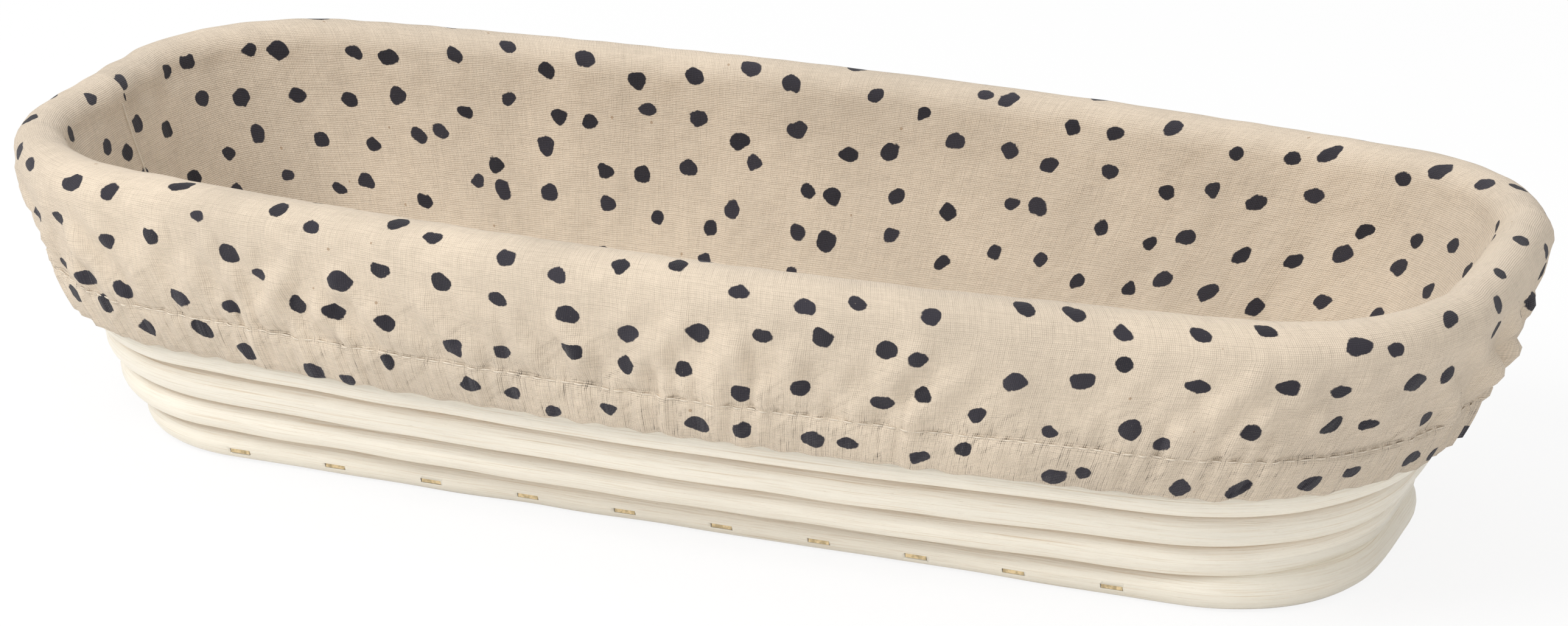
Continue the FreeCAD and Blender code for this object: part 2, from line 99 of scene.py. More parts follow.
class Outline:
    """A plan outline of eight tangent arcs: two long sides, two ends and four corners."""

    def __init__(self, half_length, half_width, corner, side_radius, end_radius, shift):
        self.half_length = half_length
        self.half_width = half_width
        self.corner = corner
        self.side_bow = 1 / side_radius
        self.end_bow = 1 / end_radius
        self.shift = shift

    def grown(self, by):
        """The parallel outline that lies further out by this much."""
        return Outline(self.half_length + by, self.half_width + by, self.corner + by,
                       1 / self.side_bow + by, 1 / self.end_bow + by, self.shift)

    def towards(self, other, share):
        """The outline this share of the way to another."""
        def between(name):
            return getattr(self, name) * (1 - share) + getattr(other, name) * share
        return Outline(between("half_length"), between("half_width"), between("corner"),
                       1 / between("side_bow"), 1 / between("end_bow"), between("shift"))

    def corner_arc(self):
        """Centre of the +X +Y corner arc, and the angles where it meets the end and the side."""
        side_radius = 1 / self.side_bow
        end_radius = 1 / self.end_bow
        side_centre = self.half_width - side_radius
        end_centre = self.half_length - end_radius
        apart = math.hypot(end_centre, side_centre)
        to_side = side_radius - self.corner
        to_end = end_radius - self.corner
        along = (to_side ** 2 - to_end ** 2 + apart ** 2) / (2 * apart)
        across = math.sqrt(to_side ** 2 - along ** 2)
        unit_x = end_centre / apart
        unit_y = -side_centre / apart
        choices = [(unit_x * along - sign * unit_y * across,
                    side_centre + unit_y * along + sign * unit_x * across) for sign in (1, -1)]
        x, y = max(choices, key=sum)
        return x, y, math.atan2(y, x - end_centre), math.atan2(y - side_centre, x)

    def arcs(self):
        """Centre, radius and angles of each arc, from the middle of the -X end by way of -Y."""
        x, y, end, side = self.corner_arc()
        end_radius = 1 / self.end_bow
        side_radius = 1 / self.side_bow
        end_x = self.half_length - end_radius
        side_y = self.half_width - side_radius
        half = math.pi
        return np.array([
            (-end_x, 0, end_radius, half, half + end),
            (-x, -y, self.corner, half + end, half + side),
            (0, -side_y, side_radius, half + side, 2 * half - side),
            (x, -y, self.corner, 2 * half - side, 2 * half - end),
            (end_x, 0, end_radius, 2 * half - end, 2 * half + end),
            (x, y, self.corner, 2 * half + end, 2 * half + side),
            (0, side_y, side_radius, 2 * half + side, 3 * half - side),
            (-x, y, self.corner, 3 * half - side, 3 * half - end),
            (-end_x, 0, end_radius, 3 * half - end, 3 * half)])

    def length(self):
        """Distance all the way round."""
        arcs = self.arcs()
        return float(np.sum(arcs[:, 2] * (arcs[:, 4] - arcs[:, 3])))

    def places(self, shares):
        """Points and outward directions at these shares of the way round."""
        arcs = self.arcs()
        starts = np.concatenate(([0.0], np.cumsum(arcs[:, 2] * (arcs[:, 4] - arcs[:, 3]))))
        run = np.asarray(shares) * starts[-1]
        which = np.clip(np.searchsorted(starts, run, "right") - 1, 0, len(arcs) - 1)
        angle = arcs[which, 3] + (run - starts[which]) / arcs[which, 2]
        outward = np.stack((np.cos(angle), np.sin(angle)), axis=-1)
        points = arcs[which, :2] + outward * arcs[which, 2:3]
        points[:, 0] += self.shift
        return points, outward


def wall_outline(turn):
    """Centre line of a wall cane, 0 at the base."""
    base_length, base_width = half_sizes(WALL_CANES[0])[:2]
    rim_length, rim_width = half_sizes(WALL_CANES[LAST])[:2]
    length, width, shift = half_sizes(WALL_CANES[turn])
    side = (width - base_width) / (rim_width - base_width)
    end = (length - base_length) / (rim_length - base_length)
    share = (side + end) / 2
    corner = BASE_CORNER + (RIM_CORNER - BASE_CORNER) * share
    corner += CORNER_SWELL * 4 * share * (1 - share)
    base_bow = 1 / BASE_SIDE_RADIUS
    bow = base_bow + (1 / RIM_SIDE_RADIUS - base_bow) * (1 - (1 - side) ** 2)
    return Outline(length, width, corner, 1 / bow, END_RADIUS, shift).grown(-CANE_RADIUS)


OUTLINES = [wall_outline(turn) for turn in range(LAST + 1)]
STEPS_OUT = [(OUTLINES[i + 1].half_length - OUTLINES[i].half_length
              + OUTLINES[i + 1].half_width - OUTLINES[i].half_width) / 2 for i in range(LAST)]
STEPS_UP = [math.sqrt(CANE_PITCH ** 2 - step ** 2) for step in STEPS_OUT]
HEIGHTS = [FLOOR_MIDDLE + sum(STEPS_UP[:turn]) for turn in range(LAST + 1)]


def lean_above(turn):
    """How much further out a skin lies, level with it, than square to the wall above a turn."""
    step = OUTLINES[turn + 1].half_width - OUTLINES[turn].half_width
    return math.hypot(step, STEPS_UP[turn]) / STEPS_UP[turn]


LEANS = [lean_above(max(turn - 1, 0)) for turn in range(LAST + 1)]


def floor_outline(turn):
    """Centre line of a floor cane, 1 next to the middle strip."""
    length, width, shift = half_sizes(FLOOR_CANES[turn - 1])
    corner = CANE_RADIUS + (OUTLINES[0].corner - CANE_RADIUS) * turn / (len(FLOOR_CANES) + 1)
    half_width = width - CANE_RADIUS
    corner = min(corner + CANE_RADIUS / 2, half_width * 0.98)
    return Outline(length - CANE_RADIUS, half_width, corner, BASE_SIDE_RADIUS, END_RADIUS, shift)


def wall_skin(height, distance):
    """The loop at this height that lies off the wall's centre line, inside it where negative."""
    turn = max(i for i in range(LAST) if HEIGHTS[i] <= height)
    share = (height - HEIGHTS[turn]) / STEPS_UP[turn]
    lean = LEANS[turn] + (LEANS[turn + 1] - LEANS[turn]) * share
    return OUTLINES[turn].towards(OUTLINES[turn + 1], share).grown(distance * lean)


# ---------- properties ----------

class BannetonSizes(bpy.types.PropertyGroup):
    """Sizes that can be changed."""
    cloth: FloatProperty(name="Cloth", description="Thickness of the liner's cloth",
                         default=0.8 * MM, unit="LENGTH")
    puff: FloatProperty(name="Skirt puff", description="How far the skirt stands off the canes",
                        default=1.3 * MM, unit="LENGTH")
    gathers: FloatProperty(name="Gathers", description="Depth of the gathers at the hem",
                           default=0.85 * MM, unit="LENGTH")
    wrinkles: FloatProperty(name="Wrinkles", description="Depth of the slanting wrinkles",
                            default=1.25 * MM, unit="LENGTH")
    hem_top: FloatProperty(name="Hem top", description="Height of the stitched line",
                           default=47 * MM, unit="LENGTH")
    hem_bottom: FloatProperty(name="Hem bottom", description="Height of the liner's lower edge",
                              default=35 * MM, unit="LENGTH")
    stitch: FloatProperty(name="Stitch", description="Length of one stitch",
                          default=2.7 * MM, unit="LENGTH")
    columns: IntProperty(name="Columns", description="Divisions of the liner round the basket",
                         default=720)
    dot_pitch: FloatProperty(name="Dot pitch", description="Mean distance between two dots",
                             default=13.9 * MM, unit="LENGTH")


class BannetonColours(bpy.types.PropertyGroup):
    """Colours that can be changed."""
    cloth: FloatVectorProperty(name="Cloth", description="Natural cotton", size=3, subtype="COLOR",
                               default=(0.735, 0.620, 0.487))
    dot: FloatVectorProperty(name="Dots", description="Charcoal dots", size=3, subtype="COLOR",
                             default=(0.024, 0.022, 0.028))
    cane: FloatVectorProperty(name="Cane", description="Pale rattan", size=3, subtype="COLOR",
                              default=(0.95, 0.895, 0.775))
    cane_grain: FloatVectorProperty(name="Cane grain", description="Tan lines in the rattan",
                                    size=3, subtype="COLOR", default=(0.60, 0.42, 0.23))
    thread: FloatVectorProperty(name="Thread", description="Off-white thread", size=3,
                                subtype="COLOR", default=(0.76, 0.67, 0.55))
    staple: FloatVectorProperty(name="Staple", description="Brassed steel", size=3,
                                subtype="COLOR", default=(0.80, 0.62, 0.36))
    floor: FloatVectorProperty(name="Floor", description="Pale floor", size=3,
                               subtype="COLOR", default=(0.93, 0.93, 0.93))


def sizes():
    """The scene's sizes."""
    return bpy.context.scene.banneton_sizes


def colours():
    """The scene's colours."""
    return bpy.context.scene.banneton_colours


# ---------- materials ----------

class Nodes:
    """A material's node tree, with short ways to add to it."""

    def __init__(self, name):
        self.material = bpy.data.materials.new(name)
        self.material.use_nodes = True
        self.tree = self.material.node_tree
        self.shader = self.tree.nodes["Principled BSDF"]

    def add(self, kind, **inputs):
        """A node with some inputs set or linked; a name stands for the input's identifier."""
        node = self.tree.nodes.new(kind)
        for name, value in inputs.items():
            self.set(node, name.replace("_", " "), value)
        return node

    def set(self, node, name, value):
        """Sets or links one input."""
        socket = node.inputs[name]
        if isinstance(value, bpy.types.NodeSocket):
            self.tree.links.new(value, socket)
        else:
            socket.default_value = value

    def math(self, operation, first, second=0.0, third=0.0, clamp=False):
        """The result of a sum."""
        node = self.tree.nodes.new("ShaderNodeMath")
        node.operation = operation
        node.use_clamp = clamp
        for index, value in enumerate((first, second, third)):
            self.set(node, index, value)
        return node.outputs[0]

    def mix(self, share, first, second):
        """A colour between two."""
        node = self.tree.nodes.new("ShaderNodeMix")
        node.data_type = "RGBA"
        for index, value in ((0, share), (6, first), (7, second)):
            self.set(node, index, value)
        return node.outputs[2]

    def range(self, value, low, high, to_low=0.0, to_high=1.0):
        """A value spread smoothly over another range."""
        node = self.add("ShaderNodeMapRange")
        node.interpolation_type = "SMOOTHSTEP"
        for index, entry in enumerate((value, low, high, to_low, to_high)):
            self.set(node, index, entry)
        return node.outputs[0]

    def stretched(self, coordinates, x, y, z=1.0):
        """Coordinates scaled along each axis."""
        node = self.tree.nodes.new("ShaderNodeVectorMath")
        node.operation = "MULTIPLY"
        self.set(node, 0, coordinates)
        node.inputs[1].default_value = (x, y, z)
        return node.outputs[0]

    def noise(self, coordinates, scale=1.0, detail=2.0, rough=0.5):
        """Noise, from 0 to 1."""
        node = self.add("ShaderNodeTexNoise", Vector=coordinates, Scale=scale, Detail=detail,
                        Roughness=rough)
        return node.outputs["Fac"]

    def uv(self):
        """The piece's own UV map, in metres."""
        return self.tree.nodes.new("ShaderNodeUVMap").outputs[0]

    def place(self):
        """The place on the object."""
        return self.tree.nodes.new("ShaderNodeTexCoord").outputs["Object"]

    def bump(self, height, distance, strength=1.0, before=None):
        """A bump that is linked to the shader, over another one."""
        node = self.add("ShaderNodeBump", Height=height, Distance=distance, Strength=strength)
        if before is not None:
            self.set(node, "Normal", before)
        self.set(self.shader, "Normal", node.outputs[0])
        return node.outputs[0]

    def finish(self, colour, roughness, **fixed):
        """Sets the shader's colour, roughness and the values that are the same all over."""
        self.set(self.shader, "Base Color", colour)
        self.set(self.shader, "Roughness", roughness)
        for name, value in fixed.items():
            self.shader.inputs[name.replace("_", " ")].default_value = value
        return self.material


def opaque(colour):
    """A colour with its alpha."""
    return (colour[0], colour[1], colour[2], 1.0)


def shaded(colour, factor):
    """A colour made lighter or darker, with its alpha."""
    return (colour[0] * factor, colour[1] * factor, colour[2] * factor, 1.0)


def weave_height(nodes, uv, pitch):
    """Height of a plain weave, from 0 in the gaps between threads to 1 on them."""
    uneven = nodes.noise(uv, 90, 2.0)
    split = nodes.add("ShaderNodeSeparateXYZ", Vector=uv)
    ridges = []
    for axis in (0, 1):
        run = nodes.math("MULTIPLY_ADD", uneven, 1.6 * pitch, split.outputs[axis])
        wave = nodes.math("SINE", nodes.math("MULTIPLY", run, TURN / pitch))
        ridges.append(nodes.math("MULTIPLY_ADD", wave, 0.25, 0.25))
    return nodes.math("ADD", ridges[0], ridges[1])


def hem_puckers(nodes, uv):
    """The small upright puckers of the gathered hem, from 0 to 1."""
    profile = sleeve_profile()
    heights = [row[0] for row in profile]
    across = profile_run(profile)
    seam = max(i for i, row in enumerate(profile) if row[2] == "skirt")
    edge = heights.index(min(heights[seam:]), seam)
    split = nodes.add("ShaderNodeSeparateXYZ", Vector=uv)
    rising = nodes.range(split.outputs[1], across[seam] - 9 * MM, across[seam] + 1 * MM, 0.12, 1.0)
    past = nodes.math("LESS_THAN", split.outputs[1], across[edge] + 2 * MM)
    folds = nodes.noise(nodes.stretched(uv, 370, 42), 1.0, 2.0)
    return nodes.math("MULTIPLY", folds, nodes.math("MULTIPLY", rising, past))


def fine_wrinkles(nodes, uv):
    """Slanting drag wrinkles above the hem and faint creases elsewhere, from 0 to 1."""
    turned = nodes.add("ShaderNodeMapping", Vector=uv, Rotation=(0, 0, math.radians(38)))
    creases = nodes.noise(nodes.stretched(turned.outputs[0], 46, 190), 1.0, 2.0)
    across = profile_run(sleeve_profile())
    seam = max(i for i, row in enumerate(sleeve_profile()) if row[2] == "skirt")
    split = nodes.add("ShaderNodeSeparateXYZ", Vector=uv)
    low = nodes.range(split.outputs[1], across[seam] - 22 * MM, across[seam] - 3 * MM, 0.15, 1.0)
    return nodes.math("MULTIPLY", creases, low)


def cotton_material(name, dotted):
    """Natural cotton in a plain weave with painted shade between its threads, slubs and flecks, and
    hand-drawn charcoal dots.
    """
    nodes = Nodes(name)
    cell = sizes().dot_pitch
    uv = nodes.uv()
    cloth = opaque(colours().cloth)
    warp_slubs = nodes.noise(nodes.stretched(uv, 160, 2300), 1.0, 3.0)
    weft_slubs = nodes.noise(nodes.stretched(uv, 2300, 160), 1.0, 3.0)
    slubs = nodes.math("ADD", warp_slubs, weft_slubs)
    patches = nodes.noise(uv, 22, 3.0)
    tone = nodes.math("ADD", nodes.math("MULTIPLY", slubs, 0.6), patches)
    colour = nodes.mix(nodes.range(tone, 0.8, 1.45), shaded(cloth, 0.84), shaded(cloth, 1.08))
    threads = weave_height(nodes, uv, 0.46 * MM)
    # Painted shade in the gaps between the threads, darker where the weave is low.
    colour = nodes.mix(nodes.range(threads, 0.05, 0.7, 0.40, 0.0), colour, shaded(cloth, 0.62))
    flecks = nodes.add("ShaderNodeTexVoronoi", Vector=uv, Scale=170.0)
    chance = nodes.add("ShaderNodeSeparateColor", Color=flecks.outputs["Color"])
    fleck = nodes.math("MULTIPLY", nodes.math("GREATER_THAN", chance.outputs[0], 0.80),
                       nodes.math("LESS_THAN", flecks.outputs["Distance"], 0.07))
    colour = nodes.mix(nodes.math("MULTIPLY", fleck, 0.55), colour, (0.30, 0.17, 0.08, 1.0))
    if dotted:
        hand = nodes.add("ShaderNodeTexNoise", Vector=uv, Scale=190.0, Detail=1.0)
        rag = nodes.add("ShaderNodeTexNoise", Vector=uv, Scale=1500.0, Detail=2.0)
        moved = nodes.tree.nodes.new("ShaderNodeVectorMath")
        moved.operation = "MULTIPLY_ADD"
        nodes.set(moved, 0, hand.outputs["Color"])
        moved.inputs[1].default_value = (3.0 * MM, 3.0 * MM, 0)
        nodes.set(moved, 2, uv)
        frayed = nodes.tree.nodes.new("ShaderNodeVectorMath")
        frayed.operation = "MULTIPLY_ADD"
        nodes.set(frayed, 0, rag.outputs["Color"])
        frayed.inputs[1].default_value = (0.55 * MM, 0.55 * MM, 0)
        nodes.set(frayed, 2, moved.outputs[0])
        spots = nodes.add("ShaderNodeTexVoronoi", Vector=nodes.stretched(frayed.outputs[0], 0.90, 1.14, 0),
                          Scale=1 / cell, Randomness=0.62)
        spots.voronoi_dimensions = "2D"
        draw = nodes.add("ShaderNodeSeparateColor", Color=spots.outputs["Color"])
        radius = nodes.range(draw.outputs[0], 0, 1, 0.145, 0.190)
        short = nodes.math("SUBTRACT", radius, spots.outputs["Distance"])
        dot = nodes.range(short, -0.008, 0.014)
        worn = nodes.range(nodes.noise(uv, 2100, 2.0), 0.66, 0.80, 1.0, 0.8)
        ink = nodes.mix(draw.outputs[1], opaque(colours().dot), shaded(colours().dot, 1.7))
        colour = nodes.mix(nodes.math("MULTIPLY", dot, worn), colour, ink)
    bump = nodes.bump(nodes.noise(uv, 260, 4.0), 0.35 * MM, 0.35)
    if dotted == "sleeve":
        bump = nodes.bump(hem_puckers(nodes, uv), 1.7 * MM, 1.0, bump)
        bump = nodes.bump(fine_wrinkles(nodes, uv), 2.4 * MM, 1.0, bump)
    bump = nodes.bump(slubs, 0.22 * MM, 0.5, bump)
    nodes.bump(threads, 0.20 * MM, 0.7, bump)
    roughness = nodes.range(patches, 0.3, 0.7, 0.88, 0.97)
    return nodes.finish(colour, roughness, Sheen_Weight=0.12, Sheen_Roughness=0.5,
                        Specular_IOR_Level=0.25)


def rattan_material():
    """Peeled pale rattan: long fine fibres, tan lines, and painted warm shade in the grooves where the
    canes meet.
    """
    nodes = Nodes("peeled_rattan")
    uv = nodes.uv()
    cane = colours().cane
    fibres = nodes.noise(nodes.stretched(uv, 55, 2900), 1.0, 5.0, 0.6)
    streaks = nodes.noise(nodes.stretched(uv, 16, 1150), 1.0, 3.0)
    patches = nodes.noise(nodes.stretched(uv, 9, 60), 1.0, 2.0)
    pores = nodes.noise(nodes.stretched(uv, 420, 5200), 1.0, 2.0)
    colour = nodes.mix(nodes.range(patches, 0.25, 0.75), shaded(cane, 0.93), shaded(cane, 1.05))
    colour = nodes.mix(nodes.range(fibres, 0.48, 0.72, 0.0, 0.30), colour,
                       opaque(colours().cane_grain))
    colour = nodes.mix(nodes.range(streaks, 0.60, 0.72, 0.0, 0.40), colour,
                       opaque(colours().cane_grain))
    colour = nodes.mix(nodes.range(pores, 0.66, 0.80, 0.0, 0.35), colour,
                       shaded(colours().cane_grain, 0.6))
    # Painted warm shade along the top and bottom of each cane, where it meets the canes beside it.
    split = nodes.add("ShaderNodeSeparateXYZ", Vector=uv)
    angle = nodes.math("MULTIPLY", split.outputs[1], 1 / CANE_RADIUS)
    upright = nodes.math("ABSOLUTE", nodes.math("SINE", angle))
    groove_shade = nodes.range(upright, 0.80, 0.985, 0.0, 0.95)
    colour = nodes.mix(groove_shade, colour, (0.50, 0.32, 0.15, 1.0))
    bump = nodes.bump(nodes.noise(nodes.stretched(uv, 22, 460), 1.0, 3.0), 0.55 * MM, 0.7)
    nodes.bump(fibres, 0.24 * MM, 0.8, bump)
    roughness = nodes.range(streaks, 0.3, 0.7, 0.42, 0.62)
    return nodes.finish(colour, roughness, Specular_IOR_Level=0.4, Coat_Weight=0.05)


def staple_material():
    """Brassed steel wire, dulled a little."""
    nodes = Nodes("brassed_staple_wire")
    place = nodes.place()
    dull = nodes.noise(place, 900, 3.0)
    colour = nodes.mix(nodes.range(dull, 0.35, 0.7), opaque(colours().staple),
                       shaded(colours().staple, 0.6))
    nodes.bump(nodes.noise(place, 2600, 2.0), 0.05 * MM, 0.4)
    return nodes.finish(colour, nodes.range(dull, 0.3, 0.7, 0.3, 0.5), Metallic=1.0)


def thread_material():
    """Twisted cotton thread."""
    nodes = Nodes("twisted_thread")
    place = nodes.place()
    twist = nodes.noise(place, 3200, 2.0)
    colour = nodes.mix(nodes.range(twist, 0.3, 0.7), shaded(colours().thread, 0.82),
                       opaque(colours().thread))
    nodes.bump(twist, 0.08 * MM, 0.6)
    return nodes.finish(colour, nodes.range(twist, 0.3, 0.7, 0.8, 0.95), Sheen_Weight=0.1)


def elastic_material():
    """Ribbed white elastic."""
    nodes = Nodes("ribbed_elastic")
    place = nodes.place()
    split = nodes.add("ShaderNodeSeparateXYZ", Vector=place)
    ribs = nodes.math("SINE", nodes.math("MULTIPLY", split.outputs[2], TURN / (0.9 * MM)))
    fuzz = nodes.noise(place, 1800, 2.0)
    colour = nodes.mix(nodes.range(fuzz, 0.3, 0.7), (0.62, 0.60, 0.56, 1.0), (0.78, 0.77, 0.73, 1.0))
    nodes.bump(ribs, 0.12 * MM, 0.6)
    return nodes.finish(colour, nodes.range(fuzz, 0.3, 0.7, 0.8, 0.92))


# ---------- making pieces ----------

def start_piece():
    """Leaves nothing selected, in object mode."""
    if bpy.context.object and bpy.context.object.mode != "OBJECT":
        bpy.ops.object.mode_set(mode="OBJECT")
    bpy.ops.object.select_all(action="DESELECT")


def wrapped_grid(name, points, uvs):
    """A grid whose vertices are wrapped on to these rows of points, with its UV map in metres."""
    start_piece()
    rows, columns = points.shape[0] - 1, points.shape[1] - 1
    bpy.ops.mesh.primitive_grid_add(x_subdivisions=columns, y_subdivisions=rows, size=1.0,
                                    calc_uvs=True, location=(0, 0, 0))
    piece = bpy.context.object
    piece.name = name
    mesh = piece.data
    flat = np.empty(len(mesh.vertices) * 3, dtype=np.float64)
    mesh.vertices.foreach_get("co", flat)
    flat = flat.reshape(-1, 3)
    column = np.rint((flat[:, 0] + 0.5) * columns).astype(int)
    row = np.rint((flat[:, 1] + 0.5) * rows).astype(int)
    mesh.vertices.foreach_set("co", points[row, column].ravel())
    corner = np.empty(len(mesh.loops), dtype=np.int32)
    mesh.loops.foreach_get("vertex_index", corner)
    mesh.uv_layers[0].data.foreach_set("uv", uvs[row[corner], column[corner]].ravel())
    mesh.update()
    return piece


def close_and_smooth(piece, solidify=0.0):
    """Merges what meets, points the faces outwards and gives a sheet its thickness."""
    bpy.context.view_layer.objects.active = piece
    piece.select_set(True)
    bpy.ops.object.mode_set(mode="EDIT")
    bpy.ops.mesh.select_all(action="SELECT")
    bpy.ops.mesh.remove_doubles(threshold=0.004 * MM)
    bpy.ops.mesh.normals_make_consistent(inside=False)
    bpy.ops.object.mode_set(mode="OBJECT")
    if solidify:
        thick = piece.modifiers.new("thickness", "SOLIDIFY")
        thick.thickness = solidify
        thick.offset = 0.0
        bpy.ops.object.modifier_apply(modifier=thick.name)
    bpy.ops.object.shade_smooth()


def dress(piece, material, body, slot, *nodes):
    """Gives a finished piece its material and body, and hides the nodes it stands for."""
    piece.data.materials.clear()
    piece.data.materials.append(material)
    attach(piece, body)
    if nodes:
        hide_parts(*nodes)


def tube_rows(outline, height, across, around, rng):
    """Rows of points round a cane, a little uneven as a peeled cane is."""
    shares = np.linspace(0, 1, around + 1)
    points, outward = outline.places(shares)
    length = outline.length()
    swell = waves(shares, 0.0, 4, 26, 7, rng) * 0.014
    sway = waves(shares, 0.0, 3, 14, 5, rng) * 0.08 * MM
    rows = []
    uvs = []
    for step in range(across + 1):
        angle = TURN * step / across
        flats = waves(shares, angle / TURN, 4, 22, 5, np.random.default_rng(7)) * 0.004
        radius = CANE_RADIUS * (1 + swell + flats)
        if step == 0:
            first_radius = radius
        if step == across:
            radius = first_radius
        reach = (radius * math.cos(angle))[:, None]
        z = height + sway + radius * math.sin(angle)
        rows.append(np.column_stack((points + outward * reach, np.maximum(z, 0.0))))
        uvs.append(np.column_stack((shares * length, np.full(around + 1, angle * CANE_RADIUS))))
    rows = np.array(rows)
    rows[:, -1] = rows[:, 0]
    return rows, np.array(uvs)


def waves(shares, across, lowest, highest, count, rng, slant=0.0):
    """Uneven waves that close on themselves round the basket, about 1 high."""
    total = np.zeros(np.broadcast(shares, across).shape)
    for _ in range(count):
        number = rng.integers(lowest, highest + 1)
        phase = rng.uniform(0, TURN)
        tilt = slant * rng.choice((-1.0, 1.0)) * rng.uniform(0.5, 1.3)
        drift = rng.uniform(-1.5, 1.5)
        total += np.sin(TURN * (number * shares + tilt * across) + drift * across + phase)
    return total / math.sqrt(count / 2)


def staple_places():
    """X of each staple along a long side."""
    spaces = int(2 * (OUTLINES[0].half_length - OUTLINES[0].corner) / STAPLE_PITCH)
    return [STAPLE_DRIFT + (i - spaces / 2) * STAPLE_PITCH
            + STAPLE_BUNCHING * math.sin(math.pi * i / spaces) for i in range(spaces + 1)]


def cut_staple_slots(cane):
    """Cuts the shallow slots that the base staples sit in."""
    base = OUTLINES[0].grown(CANE_RADIUS)
    places = staple_places()
    cutters = []
    for side in (-1, 1):
        for place in places:
            start_piece()
            surface = side * (base.half_width - SLOT_INSET)
            bpy.ops.mesh.primitive_cube_add(
                size=1.0, location=(-side * place, surface, FLOOR_MIDDLE - STAPLE_DROP),
                scale=(STAPLE_CROWN + SLOT_END_ROOM, 2 * STAPLE_DEPTH, STAPLE_WIRE + SLOT_SIDE_ROOM))
            cutters.append(bpy.context.object)
    start_piece()
    for cutter in cutters:
        cutter.select_set(True)
    bpy.context.view_layer.objects.active = cutters[0]
    bpy.ops.object.join()
    bpy.ops.object.transform_apply(location=True, rotation=True, scale=True)
    cutter = bpy.context.object
    start_piece()
    bpy.context.view_layer.objects.active = cane
    cane.select_set(True)
    cut = cane.modifiers.new("slots", "BOOLEAN")
    cut.operation = "DIFFERENCE"
    cut.solver = "EXACT"
    cut.object = cutter
    bpy.ops.object.modifier_apply(modifier=cut.name)
    bpy.data.objects.remove(cutter)


def sleeve_profile():
    """The liner's section from its foot, over the rim and down to the turned-up hem.

    Each row has its height, its distance outside the wall's centre line, and its zone.
    """
    middle = CANE_RADIUS + CLOTH_CLEARANCE + sizes().cloth / 2
    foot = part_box("liner_wall_band")[0][2] + sizes().cloth / 2
    rim = HEIGHTS[LAST]
    top, bottom = sizes().hem_top, sizes().hem_bottom
    rows = [(z, -middle, "pocket") for z in np.linspace(foot, rim, 22)[:-1]]
    for step in range(13):
        angle = math.pi * (1 - step / 12)
        rows.append((rim + middle * math.sin(angle), middle * math.cos(angle), "roll"))
    rows += [(z, middle, "skirt") for z in np.linspace(rim, top, 14)[1:]]
    rows += [(z, middle, "casing") for z in np.linspace(top, bottom + 0.9 * MM, 8)[1:]]
    rows += [(bottom + 0.1 * MM, middle, "edge"), (bottom + 0.9 * MM, middle, "turned")]
    rows += [(z, middle, "turned") for z in np.linspace(bottom + 3 * MM, top - 1.2 * MM, 4)]
    return rows


def profile_run(profile):
    """Distance along the section to each of its rows."""
    heights = [row[0] for row in profile]
    steps = np.hypot(np.diff(heights), np.diff([row[1] for row in profile]))
    return np.concatenate(([0.0], np.cumsum(steps)))


def stand_off(height):
    """How far the skirt and the casing stand out from the tight cloth at this height."""
    top, bottom, rim = sizes().hem_top, sizes().hem_bottom, HEIGHTS[LAST]
    puff = sizes().puff
    known = ((bottom, 1.8 * MM), (top - 1 * MM, 1.8 * MM), (top + 4 * MM, puff),
             ((top + rim) / 2, puff * 0.7), (rim - 5 * MM, puff * 0.3), (rim, 0.0))
    return float(np.interp(height, [k[0] for k in known], [k[1] for k in known]))


